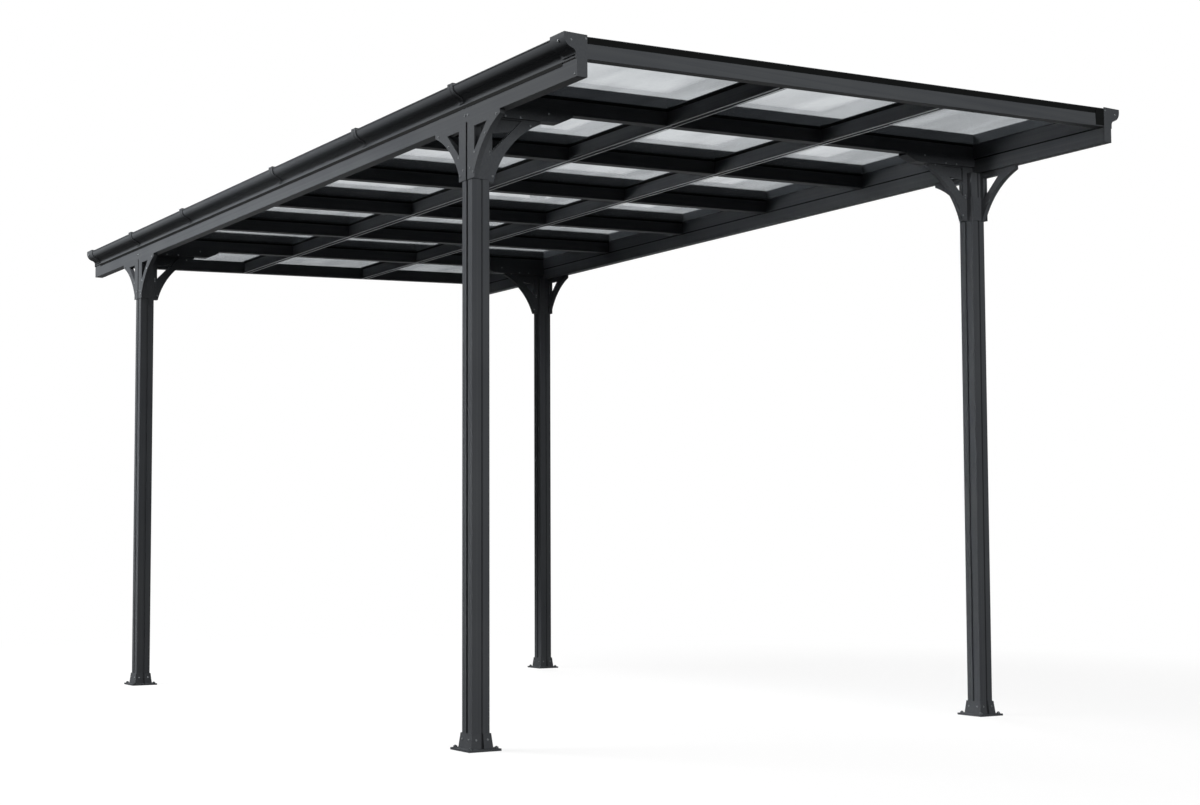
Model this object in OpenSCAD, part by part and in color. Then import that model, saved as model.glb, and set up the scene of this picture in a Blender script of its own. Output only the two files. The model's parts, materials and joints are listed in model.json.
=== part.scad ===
// Single carport: four fluted posts, two side beams with moulded gutters, and a glazed flat roof
// of three panes by seven rows that falls gently towards its left gutter.
// X runs across to the right, Y runs from front to rear, Z is up. The origin is on the ground,
// in the middle of the plan.

/* [Plan] */
// Distance between post centres, across
post_span_x = 2750; // [2200:10:3400]
// Distance from one cross beam to the next, along the roof
row_pitch = 752; // [600:1:900]
// Height of the low side beam's underside
low_eave = 2455; // [2000:5:2900]
// How much higher the right side beam is than the left one
roof_fall = 105; // [0:5:200]

/* [Posts] */
// Side of the square post
post_size = 80; // [70:1:110]
// Radius of the post's corners
post_corner_r = 4; // [2:0.5:8]
// Width of the groove down the middle of each post face
groove_w = 12; // [6:1:18]
// Depth of that groove
groove_d = 6; // [3:0.5:10]
// Wall behind the grooves
post_wall = 3; // [2:0.5:5]
// Thickness of the plate that closes the post's top
post_head_t = 4; // [2:0.5:8]

/* [Base shoes] */
// Distance from an anchor hole's centre to the edge of the square base plate
anchor_edge = 14.5; // [12:0.5:30]
// Thickness of the base plate
plate_t = 9; // [6:0.5:15]
// Distance between anchor holes, both ways
anchor_pitch = 116; // [112:1:150]
// Diameter of an anchor hole
anchor_d = 12; // [8:0.5:14]
// Height of the collar above the plate
collar_h = 58; // [40:1:90]
// Wall of the collar at its top
collar_top_t = 3; // [2:0.5:6]
// Wall of the collar at the plate
collar_foot_t = 9.5; // [7:0.5:12]
// Width of the notch in the collar's front and rear
collar_notch_w = 14; // [8:1:20]
// Clearance between the post and the collar
collar_gap = 0.3; // [0.1:0.1:1]

/* [Side beams and gutters] */
// Width of the side beam
beam_w = 45; // [40:1:60]
// Height of the side beam
beam_h = 64; // [50:1:90]
// Wall of the side beam
beam_wall = 2.5; // [2:0.5:4]
// Height of the gutter's plain face above its rounded nose
face_h = 6; // [5:0.5:30]
// How far the gutter stands out from the beam
gutter_out = 50; // [46:1:70]
// Wall of the gutter
gutter_wall = 3; // [2:0.5:4]
// Radius of the gutter's rounded nose
nose_r = 36; // [20:1:40]
// Radius of the hollow moulding under the nose
cove_r = 24; // [16:1:30]
// Height of the plain lip between the hollow moulding and the shadow gap
gutter_lip_h = 9; // [4:0.5:14]
// Height of the shadow gap between the beam and the gutter
shadow_gap_h = 7; // [4:0.5:10]
// Depth of the shadow gap
shadow_gap_d = 5; // [3:0.5:8]
// Width of the bead along the gutter's top edge
bead_w = 2.5; // [1.5:0.5:5]
// Height of that bead
bead_h = 4; // [2:0.5:8]
// Length of a joint sleeve
sleeve_len = 40; // [30:5:120]
// Wall of the joint sleeves and of the end cap's wrap
sleeve_t = 4.5; // [4:0.1:6]
// Width of the groove round the middle of a joint sleeve
sleeve_groove_w = 6; // [3:0.5:10]
// How far the sleeves and end caps rise over the gutter's top edge
hook_rise = 8; // [4:0.5:12]
// How far their hooks reach in over the gutter
hook_w = 18; // [10:1:26]
// Length of the end cap's wrap round the gutter
cap_wrap_len = 90; // [40:5:150]
// Thickness of the end caps
cap_t = 3; // [2:0.5:6]
// Depth of the plug on the back of the beam's end cap
plug_len = 20; // [10:1:40]
// Clearance of sleeves, wraps and plugs
slip_gap = 0.2; // [0.1:0.1:0.5]

/* [Roof frame] */
// Height of the panes' underside above the side beam's underside
roof_rise = 138; // [120:1:150]
// Width of a cross beam's web box
cross_w = 36; // [30:1:50]
// Width of a cross beam's bottom flange
cross_flange_w = 44; // [38:1:60]
// Thickness of the bottom flanges
flange_t = 4; // [2:0.5:6]
// Depth of a cross beam
cross_h = 70; // [50:1:90]
// Wall of the cross beams, purlins and edge beams
frame_wall = 2; // [1.5:0.5:4]
// Distance between the two purlin lines
purlin_span = 855; // [700:5:1000]
// Width of a purlin's web box
purlin_w = 30; // [26:1:44]
// Width of a purlin's bottom flange
purlin_flange_w = 40; // [34:1:56]
// Width of the channel along the purlin's underside
purlin_groove_w = 22; // [10:1:24]
// Depth of that channel
purlin_groove_d = 14; // [6:1:24]
// Radius of the beads on the purlin's two lips
lip_bead_r = 2.5; // [1:0.1:3]
// Width of the front and rear edge beams
edge_w = 40; // [32:1:60]
// Depth of the edge beams below the panes
edge_drop = 70; // [45:1:80]
// Height of the edge beams above the panes' underside
edge_rise = 11; // [10.5:0.5:20]
// Thickness of the upstand that stops the panes
upstand_t = 12; // [8:1:16]
// Height of the black seal in the edge beam's face
seal_h = 24; // [14:1:30]
// Depth of the seal's groove
seal_d = 5; // [3:0.5:7]

/* [Glazing] */
// Thickness of a pane
pane_t = 10; // [6:0.5:12]
// Gap between neighbouring panes
pane_gap = 12; // [8:1:16]
// How far a pane reaches over the gutter
pane_drip = 18; // [10:1:30]
// Gap between a pane and the upstand
pane_stop_gap = 2; // [1:0.5:4]
// Width of the cover bars and cappings over the joints
bar_w = 40; // [28:1:50]
// Thickness of a cover bar's top
bar_t = 3; // [2:0.5:5]
// Height of the capping over a cross beam, above the panes
capping_h = 46; // [10:1:50]
// Thickness of a cover bar's stem
bar_stem = 6; // [3:0.5:8]
// Clearance between crossing cover bars
bar_gap = 0.5; // [0.3:0.1:2]
// Distance from the edge beams to the flashing along the high side
flashing_inset = 150; // [20:5:300]

/* [Braces] */
// Reach of a side brace from the post along its beam
brace_reach = 210; // [160:5:280]
// How far the braces come down the post
brace_drop = 230; // [200:5:300]
// Thickness of a brace
brace_t = 24; // [16:1:30]
// Height of a side brace's tip
brace_tip = 28; // [20:1:40]
// Length of the straight edge under that tip
brace_tongue = 24; // [10:1:36]
// Width of a side brace at its foot
brace_foot = 19; // [10:1:26]
// Height of the straight part at the foot
brace_lip = 28; // [15:1:45]
// Radius of the curved edge of a side brace
brace_r = 360; // [260:5:600]
// Radius of the curved edge of a cross brace
cross_brace_r = 390; // [320:5:600]
// Reach of a cross brace from the post
cross_reach = 255; // [220:5:300]
// Height of a cross brace's tip under the shoe
cross_tip = 11; // [6:1:20]
// Width of a cross brace at its foot
cross_foot = 42; // [30:1:60]
// Length of the window in a side brace
brace_window_len = 95; // [60:1:100]
// Drop of that window
brace_window_drop = 99; // [60:1:105]
// Length of the window in a cross brace
cross_window_len = 138; // [80:1:145]
// Drop of that window
cross_window_drop = 136; // [80:1:160]
// Strap left between a side brace's window and the post
window_strap = 18; // [10:1:26]
// Strap left between a cross brace's window and the post
cross_window_strap = 28; // [10:1:32]
// Bar left between a side brace's window and the beam
window_bar = 26; // [16:1:34]
// Bar left between a cross brace's window and the shoe
cross_window_bar = 5; // [3:0.5:12]
// Thickness of the flank plates and foot plates on the post
flank_t = 3; // [2:0.5:6]
// Height of the foot plates
foot_plate_h = 112; // [80:1:150]
// Margin of the foot plates at the post's edges
foot_plate_margin = 4; // [2:0.5:10]
// Length of the shoe under the cross beam, from the post
shoe_len = 405; // [350:5:480]
// How far the shoe hangs below the cross beam
shoe_drop = 38; // [24:1:50]
// How far the shoe's sides lap up the cross beam
shoe_lap = 8; // [4:0.5:20]
// Wall of the shoe
shoe_t = 3; // [2:0.5:5]
// Length of the slope at the shoe's end
shoe_slope_len = 62; // [20:1:80]
// Height of that slope
shoe_slope_h = 27; // [10:1:34]
// Clearance between the shoe and the cross beam
shoe_gap = 0.3; // [0.1:0.1:1]

/* [Hidden] */
$fn = 64;

LEFT = -1;
RIGHT = 1;
FRONT = -1;
REAR = 1;
// Cuts run this far past the faces they open
over = 1;
// Rows of panes along the roof and bays across it, as the nodes' names have them
rows = 7;
bays = 3;
// Places of the gutters' joint sleeves, as shares of the distance from the middle to a post
sleeve_places = [-0.98, -0.53, -0.06, 0.57, 1];

anthracite = "#3b3e41";
seal_black = "#101112";
pane_tint = [0.82, 0.85, 0.87, 0.5];

post_x = post_span_x / 2;
post_y = (rows / 2 - 1) * row_pitch;
post_in = post_x - post_size / 2;
beam_out = post_x + post_size / 2 + flank_t;
beam_in = beam_out - beam_w;
beam_len = rows * row_pitch + edge_w;
plate_size = anchor_pitch + 2 * anchor_edge;
nose_y = -face_h;
cove_top = nose_y - nose_r;
cove_foot = cove_top - cove_r;
gutter_h = shadow_gap_h + gutter_lip_h - cove_foot;
gutter_top = beam_h + gutter_h;
purlin_drop = cross_h - flange_t;
bay_lines = [-beam_in, -purlin_span / 2, purlin_span / 2, beam_in];
edge_y = rows * row_pitch / 2 + edge_w / 2;

// Underside of a side beam
function eave(side) = side == LEFT ? low_eave : low_eave + roof_fall;
// Underside of the panes, on a plane that joins the two side beams
function roof_z(x) = low_eave + roof_rise + roof_fall * (x + beam_in) / (2 * beam_in);
// Line of a cross beam, where 0 is the front edge beam and rows is the rear one
function row_y(k) = (k - rows / 2) * row_pitch;
// Line between two bays, where 0 is the left side and bays is the right one
function bay_x(k) = bay_lines[k];
// Place on X at a distance inward from a post's inner face
function inward(side, i) = side * (post_in - i);
// Underside of the shoe at that place
function shoe_z(side, i) = roof_z(inward(side, i)) - cross_h - shoe_drop;
// Middle of the shoe's bottom plate, where the brace runs into it
function shoe_mid(side, i) = shoe_z(side, i) + shoe_t / 2;
// Centre of the circle of radius r through a and b, on the side away from the brace's corner
function arc_centre(a, b, r) =
    let (d = b - a, l = norm(d), n = [-d[1], d[0]] / l)
    (a + b) / 2 + n * sqrt(r * r - l * l / 4);

// A slab that lies in the roof plane, from height b to height t above the panes' underside
module roof_slab(x0, x1, y0, y1, b, t) {
    translate([0, y1, 0])
        rotate([90, 0, 0])
            linear_extrude(y1 - y0)
                polygon([
                    [x0, roof_z(x0) + b], [x1, roof_z(x1) + b],
                    [x1, roof_z(x1) + t], [x0, roof_z(x0) + t]
                ]);
}

// Runs a section along a side beam. The section's own X is measured out from the beam's outer face.
module side_run(side, y0, y1, z) {
    mirror([side == LEFT ? 1 : 0, 0, 0])
        translate([beam_out, y1, z])
            rotate([90, 0, 0])
                linear_extrude(y1 - y0)
                    children();
}

// A box between two corners
module box(a, b) {
    translate(a)
        cube(b - a);
}

// A flat outline between two corners
module rect(a, b) {
    translate(a)
        square(b - a);
}

module post_section() {
    h = post_size / 2;
    difference() {
        union() {
            rect([-h, -h + post_corner_r], [h, h - post_corner_r]);
            rect([-h + post_corner_r, -h], [h - post_corner_r, h]);
            for (sx = [-1, 1], sy = [-1, 1])
                translate([sx, sy] * (h - post_corner_r))
                    circle(post_corner_r);
        }
        for (turn = [0:3])
            rotate(90 * turn)
                rect([h - groove_d, -groove_w / 2], [h + over, groove_w / 2]);
    }
}

module post(side, end) {
    cavity = post_size - 2 * (groove_d + post_wall);
    height = eave(side) - plate_t;
    color(anthracite)
        translate([side * post_x, end * post_y, plate_t])
            difference() {
                linear_extrude(height)
                    post_section();
                translate([-cavity / 2, -cavity / 2, -over])
                    cube([cavity, cavity, height - post_head_t + over]);
            }
}

// A square block that tapers from its foot to its top
module tapered_block(foot, top, height) {
    outline = [[-foot / 2, 0], [foot / 2, 0], [top / 2, height], [-top / 2, height]];
    intersection() {
        translate([0, foot / 2, 0])
            rotate([90, 0, 0])
                linear_extrude(foot)
                    polygon(outline);
        translate([-foot / 2, 0, 0])
            rotate([90, 0, 90])
                linear_extrude(foot)
                    polygon(outline);
    }
}

module base_shoe(side, end) {
    socket = post_size + 2 * collar_gap;
    foot = socket + 2 * collar_foot_t;
    color(anthracite)
        translate([side * post_x, end * post_y, 0])
            difference() {
                union() {
                    box([-plate_size / 2, -plate_size / 2, 0], [plate_size / 2, plate_size / 2, plate_t]);
                    translate([0, 0, plate_t])
                        tapered_block(foot, socket + 2 * collar_top_t, collar_h);
                }
                translate([-socket / 2, -socket / 2, plate_t])
                    cube([socket, socket, collar_h + over]);
                translate([-collar_notch_w / 2, -foot / 2 - over, plate_t])
                    cube([collar_notch_w, foot + 2 * over, collar_h + over]);
                for (sx = [-1, 1], sy = [-1, 1])
                    translate([sx * anchor_pitch / 2, sy * anchor_pitch / 2, -over])
                        cylinder(d = anchor_d, h = plate_t + 2 * over);
            }
}

// Side brace seen from the side: X runs away from the post, Y is zero under the beam
module side_brace_profile() {
    tip = [brace_reach, -brace_tip];
    bend = tip - [brace_tongue, 0];
    foot = [brace_foot, brace_lip - brace_drop];
    difference() {
        polygon([[0, 0], [brace_reach, 0], tip, bend, foot, [brace_foot, -brace_drop], [0, -brace_drop]]);
        translate(arc_centre(bend, foot, brace_r))
            circle(brace_r, $fn = 180);
        polygon([
            [window_strap, -window_bar],
            [window_strap + brace_window_len, -window_bar],
            [window_strap, -window_bar - brace_window_drop]
        ]);
    }
}

// A brace under a side beam, on the post's front face (dir = FRONT) or rear face (dir = REAR)
module side_brace(side, end, dir) {
    h = post_size / 2;
    color(anthracite)
        translate([side * post_x, end * post_y, eave(side)])
            mirror([side == LEFT ? 1 : 0, 0, 0])
                mirror([0, dir == FRONT ? 1 : 0, 0]) {
                    translate([h + flank_t - brace_t, h, 0])
                        rotate([90, 0, 90])
                            linear_extrude(brace_t)
                                side_brace_profile();
                    box([h, groove_w / 2, -brace_drop], [h + flank_t, h + brace_foot, 0]);
                    box([foot_plate_margin - h, h, -brace_drop],
                        [h, h + flank_t, foot_plate_h - brace_drop]);
                }
}

// Cross brace seen from the front, in the part's own X and Z
module cross_brace_profile(side) {
    seat = post_in - beam_in;
    bottom = eave(side) - brace_drop;
    tip = [cross_reach, shoe_z(side, cross_reach) - cross_tip];
    foot = [cross_foot, bottom + brace_lip];
    window_top = [for (i = [cross_window_strap, cross_window_strap + cross_window_len])
        [i, shoe_z(side, i) - cross_window_bar]];
    centre = arc_centre(tip, foot, cross_brace_r);
    difference() {
        polygon([for (p = [
            [seat, eave(side)], [seat, shoe_mid(side, seat)],
            [cross_reach, shoe_mid(side, cross_reach)], tip, foot,
            [cross_foot, bottom], [0, bottom], [0, eave(side)]
        ]) [inward(side, p[0]), p[1]]]);
        translate([inward(side, centre[0]), centre[1]])
            circle(cross_brace_r, $fn = 180);
        polygon([for (p = [window_top[0], window_top[1], window_top[0] - [0, cross_window_drop]])
            [inward(side, p[0]), p[1]]]);
    }
}

// Side view of the shoe under the cross beam, raised by its bottom plate's thickness for its hollow
module shoe_outline(side, floor = 0) {
    seat = post_in - beam_in;
    top = shoe_drop + shoe_lap;
    polygon([for (p = [
        [seat, floor], [shoe_len - shoe_slope_len, floor], [shoe_len, shoe_slope_h + floor],
        [shoe_len, top], [seat, top]
    ]) [inward(side, p[0]), shoe_z(side, p[0]) + p[1]]]);
}

// Extrudes an outline in X and Z over a width centred on a line across the roof
module across(y, width) {
    translate([0, y + width / 2, 0])
        rotate([90, 0, 0])
            linear_extrude(width)
                children();
}

// A brace from the post's inner face up to a shoe that cradles the cross beam
module cross_brace(side, end) {
    y = end * post_y;
    inner = cross_flange_w + 2 * shoe_gap;
    plate_w = post_size - 2 * foot_plate_margin;
    bottom = eave(side) - brace_drop;
    color(anthracite) {
        across(y, brace_t)
            cross_brace_profile(side);
        difference() {
            across(y, inner + 2 * shoe_t)
                shoe_outline(side);
            across(y, inner)
                shoe_outline(side, shoe_t);
        }
        translate([side * (post_in - flank_t / 2), y, bottom + foot_plate_h / 2])
            cube([flank_t, plate_w, foot_plate_h], center = true);
    }
}

module side_beam(side) {
    color(anthracite)
        side_run(side, -beam_len / 2, beam_len / 2, eave(side))
            difference() {
                rect([-beam_w, 0], [0, beam_h]);
                rect([beam_wall - beam_w, beam_wall], [-beam_wall, beam_h - beam_wall]);
            }
}

// Moulded outline of the gutter, grown by g. Y is zero at the gutter's top.
module gutter_outline(g = 0) {
    nose_x = gutter_out - nose_r;
    rect([nose_x, nose_y], [gutter_out + g, 0]);
    intersection() {
        translate([nose_x, nose_y])
            circle(nose_r + g);
        rect([nose_x, cove_top - g], [gutter_out + g, nose_y]);
    }
    rect([-beam_w, cove_top - g], [max(nose_x, cove_r), nose_y]);
    rect([-beam_w, nose_y], [nose_x, 0]);
    difference() {
        rect([-beam_w, cove_foot], [cove_r, cove_top - min(g, 0)]);
        translate([cove_r, cove_foot])
            circle(cove_r - g);
    }
    rect([-beam_w, -gutter_h], [g, cove_foot]);
}

// Hollow of the gutter, one wall inside its outline and open at the top
module gutter_hollow() {
    w = gutter_wall;
    intersection() {
        gutter_outline(-w);
        rect([w - beam_w, cove_foot], [gutter_out - w, 0]);
    }
    rect([w - beam_w, -over], [gutter_out - w, over]);
    rect([shadow_gap_d + w - beam_w, w - gutter_h], [-shadow_gap_d - w, cove_foot]);
}

// Bead along the gutter's top edge, grown by g
module gutter_bead(g = 0) {
    rect([gutter_out, -bead_h - g], [gutter_out + bead_w + g, 0]);
}

module gutter(side) {
    inner_top = roof_rise - gutter_top - slip_gap;
    color(anthracite)
        side_run(side, -beam_len / 2, beam_len / 2, eave(side) + gutter_top)
            difference() {
                union() {
                    gutter_outline();
                    gutter_bead();
                }
                gutter_hollow();
                rect([-beam_w - over, inner_top], [gutter_wall - beam_w, over]);
                for (u = [-beam_w - over, -shadow_gap_d])
                    rect([u, -gutter_h - over], [u + shadow_gap_d + over, shadow_gap_h - gutter_h]);
            }
}

// Shell of thickness t that lies on the gutter's moulding and hooks over its top edge
module sleeve_section(t = sleeve_t) {
    difference() {
        union() {
            intersection() {
                gutter_outline(t);
                rect([t, cove_foot], [gutter_out + t, 0]);
            }
            rect([gutter_out - hook_w, 0], [gutter_out + t, hook_rise + t - sleeve_t]);
        }
        gutter_outline(slip_gap);
        gutter_bead(slip_gap);
        rect([gutter_out - hook_w - over, -over], [gutter_out + bead_w + slip_gap, slip_gap]);
    }
}

module gutter_sleeves(side) {
    groove_t = (sleeve_t + bead_w) / 2;
    color(anthracite)
        for (place = sleeve_places) {
            y = place * post_y;
            for (dir = [FRONT, REAR])
                side_run(side, y + min(dir * sleeve_len, dir * sleeve_groove_w) / 2,
                    y + max(dir * sleeve_len, dir * sleeve_groove_w) / 2, eave(side) + gutter_top)
                    sleeve_section();
            side_run(side, y - sleeve_groove_w / 2, y + sleeve_groove_w / 2, eave(side) + gutter_top)
                sleeve_section(groove_t);
        }
}

module gutter_cap(side, end) {
    z = eave(side) + gutter_top;
    face = end * beam_len / 2;
    color(anthracite) {
        side_run(side, min(face, face + end * cap_t), max(face, face + end * cap_t), z)
            union() {
                gutter_outline(sleeve_t);
                rect([-beam_w, 0], [gutter_out + sleeve_t, hook_rise]);
            }
        side_run(side, min(face, face - end * cap_wrap_len), max(face, face - end * cap_wrap_len), z)
            sleeve_section();
    }
}

module beam_caps(side) {
    inset = beam_wall + slip_gap;
    color(anthracite)
        for (end = [FRONT, REAR]) {
            face = end * beam_len / 2;
            side_run(side, min(face, face + end * cap_t), max(face, face + end * cap_t), eave(side))
                rect([-beam_w, 0], [0, beam_h]);
            side_run(side, min(face, face - end * plug_len), max(face, face - end * plug_len), eave(side))
                rect([inset - beam_w, inset], [-inset, beam_h - inset]);
        }
}

module edge_beam(end) {
    color(anthracite)
        mirror([0, end == FRONT ? 1 : 0, 0])
            difference() {
                roof_slab(-beam_in, beam_in, edge_y - edge_w, edge_y, -edge_drop, edge_rise);
                roof_slab(-beam_in - over, beam_in + over, edge_y - edge_w - over, edge_y - upstand_t,
                    0, edge_rise + over);
                roof_slab(-beam_in - over, beam_in + over, edge_y - seal_d, edge_y + over,
                    edge_rise - frame_wall - seal_h, edge_rise - frame_wall);
                roof_slab(-beam_in - over, beam_in + over, edge_y - edge_w + frame_wall,
                    edge_y - seal_d - frame_wall, frame_wall - edge_drop, -frame_wall);
            }
}

module edge_seals() {
    color(seal_black)
        for (end = [FRONT, REAR])
            mirror([0, end == FRONT ? 1 : 0, 0])
                roof_slab(-beam_in, beam_in, edge_y - seal_d, edge_y,
                    edge_rise - frame_wall - seal_h, edge_rise - frame_wall);
}

module cross_beam(k) {
    y = row_y(k);
    color(anthracite)
        difference() {
            union() {
                roof_slab(-beam_in, beam_in, y - cross_w / 2, y + cross_w / 2, -cross_h, 0);
                roof_slab(-beam_in, beam_in, y - cross_flange_w / 2, y + cross_flange_w / 2,
                    -cross_h, flange_t - cross_h);
            }
            roof_slab(-beam_in - over, beam_in + over, y - cross_w / 2 + frame_wall,
                y + cross_w / 2 - frame_wall, flange_t - cross_h, -frame_wall);
        }
}

// One purlin line, in pieces that sit between the cross beams on their flanges
module purlin(k) {
    x = bay_x(k);
    lip_w = (purlin_flange_w - purlin_groove_w) / 2;
    bead_clear = (cross_flange_w - cross_w) / 2 + bar_gap;
    color(anthracite)
        for (r = [0:rows - 1]) {
            y0 = r == 0 ? edge_w - edge_y : row_y(r) + cross_w / 2;
            y1 = r == rows - 1 ? edge_y - edge_w : row_y(r + 1) - cross_w / 2;
            difference() {
                union() {
                    roof_slab(x - purlin_w / 2, x + purlin_w / 2, y0, y1, -purlin_drop, 0);
                    roof_slab(x - purlin_flange_w / 2, x + purlin_flange_w / 2, y0, y1,
                        -purlin_drop, flange_t - purlin_drop);
                    for (dir = [-1, 1]) {
                        bead_x = x + dir * (purlin_flange_w - lip_w) / 2;
                        translate([bead_x, y1 - bead_clear, roof_z(bead_x) - purlin_drop])
                            rotate([90, 0, 0])
                                cylinder(r = lip_bead_r, h = y1 - y0 - 2 * bead_clear);
                    }
                }
                roof_slab(x - purlin_w / 2 + frame_wall, x + purlin_w / 2 - frame_wall,
                    y0 - over, y1 + over, purlin_groove_d + frame_wall - purlin_drop, -frame_wall);
                roof_slab(x - purlin_groove_w / 2, x + purlin_groove_w / 2, y0 - over, y1 + over,
                    -purlin_drop - over, purlin_groove_d - purlin_drop);
            }
        }
}

// One column of panes, where 0 is the left bay
module panes(bay) {
    x0 = bay == 0 ? -beam_in - pane_drip : bay_x(bay) + pane_gap / 2;
    x1 = bay == bays - 1 ? beam_in + pane_drip : bay_x(bay + 1) - pane_gap / 2;
    stop = edge_y - upstand_t - pane_stop_gap;
    color(pane_tint)
        for (r = [0:rows - 1])
            roof_slab(x0, x1,
                r == 0 ? -stop : row_y(r) + pane_gap / 2,
                r == rows - 1 ? stop : row_y(r + 1) - pane_gap / 2,
                0, pane_t);
}

// Inverted channels over the cross beams, with a stem down between the panes
module cover_bars_across() {
    color(anthracite)
        for (k = [1:rows - 1]) {
            y = row_y(k);
            difference() {
                roof_slab(-beam_in, beam_in, y - bar_w / 2, y + bar_w / 2, pane_t, pane_t + capping_h);
                roof_slab(-beam_in - over, beam_in + over, y - bar_w / 2 + bar_t, y + bar_w / 2 - bar_t,
                    pane_t - over, pane_t + capping_h - bar_t);
            }
            roof_slab(-beam_in, beam_in, y - bar_stem / 2, y + bar_stem / 2, 0, pane_t + capping_h - bar_t);
        }
}

// Flat bars over the purlins, in pieces between the cappings, and the flashing along the high side
module cover_bars_along() {
    stop = edge_y - upstand_t - pane_stop_gap;
    flash = edge_y - edge_w - flashing_inset;
    flash_x = [beam_in + bar_gap, beam_in + pane_drip];
    color(anthracite) {
        for (b = [1:bays - 1], r = [0:rows - 1]) {
            x = bay_x(b);
            y0 = r == 0 ? -stop : row_y(r) + bar_w / 2 + bar_gap;
            y1 = r == rows - 1 ? stop : row_y(r + 1) - bar_w / 2 - bar_gap;
            roof_slab(x - bar_stem / 2, x + bar_stem / 2, y0, y1, 0, pane_t);
            roof_slab(x - bar_w / 2, x + bar_w / 2, y0, y1, pane_t, pane_t + bar_t);
        }
        difference() {
            roof_slab(flash_x[0], flash_x[1], -flash, flash, pane_t, pane_t + capping_h);
            roof_slab(flash_x[0] + bar_t, flash_x[1] - bar_t, -flash - over, flash + over,
                pane_t - over, pane_t + capping_h - bar_t);
        }
    }
}

post(LEFT, FRONT);  // post_front_left
post(RIGHT, FRONT);  // post_front_right
post(LEFT, REAR);  // post_rear_left
post(RIGHT, REAR);  // post_rear_right
base_shoe(LEFT, FRONT);  // base_shoe_front_left
base_shoe(RIGHT, FRONT);  // base_shoe_front_right
base_shoe(LEFT, REAR);  // base_shoe_rear_left
base_shoe(RIGHT, REAR);  // base_shoe_rear_right
side_brace(LEFT, FRONT, FRONT);  // fore_brace_front_left
side_brace(RIGHT, FRONT, FRONT);  // fore_brace_front_right
side_brace(LEFT, REAR, FRONT);  // fore_brace_rear_left
side_brace(RIGHT, REAR, FRONT);  // fore_brace_rear_right
side_brace(LEFT, FRONT, REAR);  // aft_brace_front_left
side_brace(RIGHT, FRONT, REAR);  // aft_brace_front_right
side_brace(LEFT, REAR, REAR);  // aft_brace_rear_left
side_brace(RIGHT, REAR, REAR);  // aft_brace_rear_right
cross_brace(LEFT, FRONT);  // cross_brace_front_left
cross_brace(RIGHT, FRONT);  // cross_brace_front_right
cross_brace(LEFT, REAR);  // cross_brace_rear_left
cross_brace(RIGHT, REAR);  // cross_brace_rear_right
side_beam(LEFT);  // side_beam_left
side_beam(RIGHT);  // side_beam_right
gutter(LEFT);  // gutter_left
gutter(RIGHT);  // gutter_right
gutter_cap(LEFT, FRONT);  // gutter_cap_front_left
gutter_cap(RIGHT, FRONT);  // gutter_cap_front_right
gutter_cap(LEFT, REAR);  // gutter_cap_rear_left
gutter_cap(RIGHT, REAR);  // gutter_cap_rear_right
beam_caps(LEFT);  // beam_caps_left
beam_caps(RIGHT);  // beam_caps_right
gutter_sleeves(LEFT);  // gutter_sleeves_left
gutter_sleeves(RIGHT);  // gutter_sleeves_right
edge_beam(FRONT);  // edge_beam_front
edge_beam(REAR);  // edge_beam_rear
edge_seals();
cross_beam(1);  // cross_beam_1
cross_beam(2);  // cross_beam_2
cross_beam(3);  // cross_beam_3
cross_beam(4);  // cross_beam_4
cross_beam(5);  // cross_beam_5
cross_beam(6);  // cross_beam_6
purlin(1);  // purlin_left
purlin(2);  // purlin_right
panes(0);  // panes_left
panes(1);  // panes_middle
panes(2);  // panes_right
cover_bars_across();
cover_bars_along();
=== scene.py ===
"""Looks of an open carport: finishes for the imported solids, its fasteners, the floor, the light and the camera."""

import json
import logging
import math
from dataclasses import dataclass
from enum import Enum
from typing import Any, Callable

import bpy
from mathutils import Matrix, Vector


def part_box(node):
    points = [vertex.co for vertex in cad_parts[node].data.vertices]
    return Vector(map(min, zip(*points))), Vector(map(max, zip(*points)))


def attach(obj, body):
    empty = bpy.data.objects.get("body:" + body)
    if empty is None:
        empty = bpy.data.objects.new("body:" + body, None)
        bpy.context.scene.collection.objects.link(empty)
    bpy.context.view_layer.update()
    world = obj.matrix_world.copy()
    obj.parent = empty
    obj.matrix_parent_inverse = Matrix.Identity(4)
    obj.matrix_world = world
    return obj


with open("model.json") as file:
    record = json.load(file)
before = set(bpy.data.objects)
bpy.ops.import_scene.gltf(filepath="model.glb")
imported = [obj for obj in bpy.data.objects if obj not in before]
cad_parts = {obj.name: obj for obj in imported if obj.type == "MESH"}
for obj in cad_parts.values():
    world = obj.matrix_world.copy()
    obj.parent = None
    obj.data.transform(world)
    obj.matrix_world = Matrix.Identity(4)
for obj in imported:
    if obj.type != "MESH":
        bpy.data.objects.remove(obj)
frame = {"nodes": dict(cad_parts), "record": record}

LOG = logging.getLogger("carport")
BODY = "root"
MM = 0.001
SIDES = ("left", "right")
WHITE = (1.0, 1.0, 1.0, 1.0)
X, Y = 0, 1
# How nearly a face points along an axis to count as facing that way
FACING = 0.9
# Faces that meet at less than this are shaded as one
SMOOTH_ANGLE = math.radians(35.0)

# A fastener's place and the direction that it stands in
Spot = tuple[Vector, Vector]


class Slot(Enum):
    """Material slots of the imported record."""

    FRAME = "frame"
    GLAZING = "glazing"
    SEAL = "seal"


class Run(Enum):
    """Direction in which a profile was drawn through its die."""

    ACROSS = (1.0, 0.0, 0.0)
    ALONG = (0.0, 1.0, 0.0)
    UP = (0.0, 0.0, 1.0)
    NONE = (0.0, 0.0, 0.0)


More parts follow.
